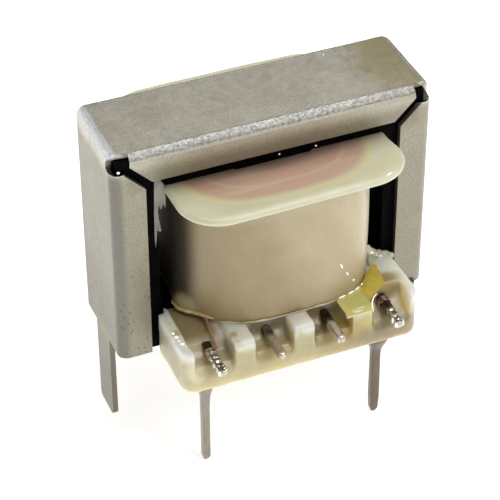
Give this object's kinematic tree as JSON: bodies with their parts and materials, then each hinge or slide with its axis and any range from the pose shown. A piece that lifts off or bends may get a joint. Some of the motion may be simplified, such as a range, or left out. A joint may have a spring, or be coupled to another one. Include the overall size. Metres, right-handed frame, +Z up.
{
  "type": "pcb transformer",
  "caption": "Open-frame laminated transformer for a circuit board, with a wound bobbin, wiring posts, pin legs and a folded channel frame with board tabs.",
  "frame": {"origin": "middle of the footprint, on the plane of the circuit board", "axes": "+Z up from the board to the top of the frame; -Y towards the front terminal row, +Y towards the rear one; +X to the right seen from the front"},
  "size_m": [0.0266, 0.0234, 0.0291],
  "materials": {
    "frame_steel": "satin tin plating",
    "core_iron": "black oxide, varnished",
    "bobbin_nylon": "translucent, satin",
    "winding_copper": "enamelled copper wire",
    "barrier_tape": "glossy",
    "wrap_paper": "varnished, satin",
    "lead_tape": "translucent, glossy",
    "pin_tin": "tinned",
    "lead_copper": "enamelled copper wire"
  },
  "bodies": {
    "root": {"channel_frame": "frame_steel", "core_e_1": "core_iron", "core_e_2": "core_iron", "core_e_3": "core_iron", "core_e_4": "core_iron", "core_e_5": "core_iron", "core_e_6": "core_iron", "core_e_7": "core_iron", "core_e_8": "core_iron", "core_e_9": "core_iron", "core_e_10": "core_iron", "core_e_11": "core_iron", "core_e_12": "core_iron", "core_e_13": "core_iron", "core_e_14": "core_iron", "core_e_15": "core_iron", "core_i_1": "core_iron", "core_i_2": "core_iron", "core_i_3": "core_iron", "core_i_4": "core_iron", "core_i_5": "core_iron", "core_i_6": "core_iron", "core_i_7": "core_iron", "core_i_8": "core_iron", "core_i_9": "core_iron", "core_i_10": "core_iron", "core_i_11": "core_iron", "core_i_12": "core_iron", "core_i_13": "core_iron", "core_i_14": "core_iron", "core_i_15": "core_iron", "bobbin": "bobbin_nylon", "inner_winding": "winding_copper", "barrier_tape": "barrier_tape", "outer_winding": "winding_copper", "coil_wrap": "wrap_paper", "lead_tape": "lead_tape", "front_pin_1": "pin_tin", "front_pin_2": "pin_tin", "front_pin_3": "pin_tin", "front_pin_4": "pin_tin", "rear_pin_1": "pin_tin", "rear_pin_2": "pin_tin", "rear_pin_3": "pin_tin", "rear_pin_4": "pin_tin", "front_lead_1": "lead_copper", "front_lead_2": "lead_copper", "rear_lead_1": "lead_copper", "rear_lead_2": "lead_copper"}
  },
  "joints": []
}
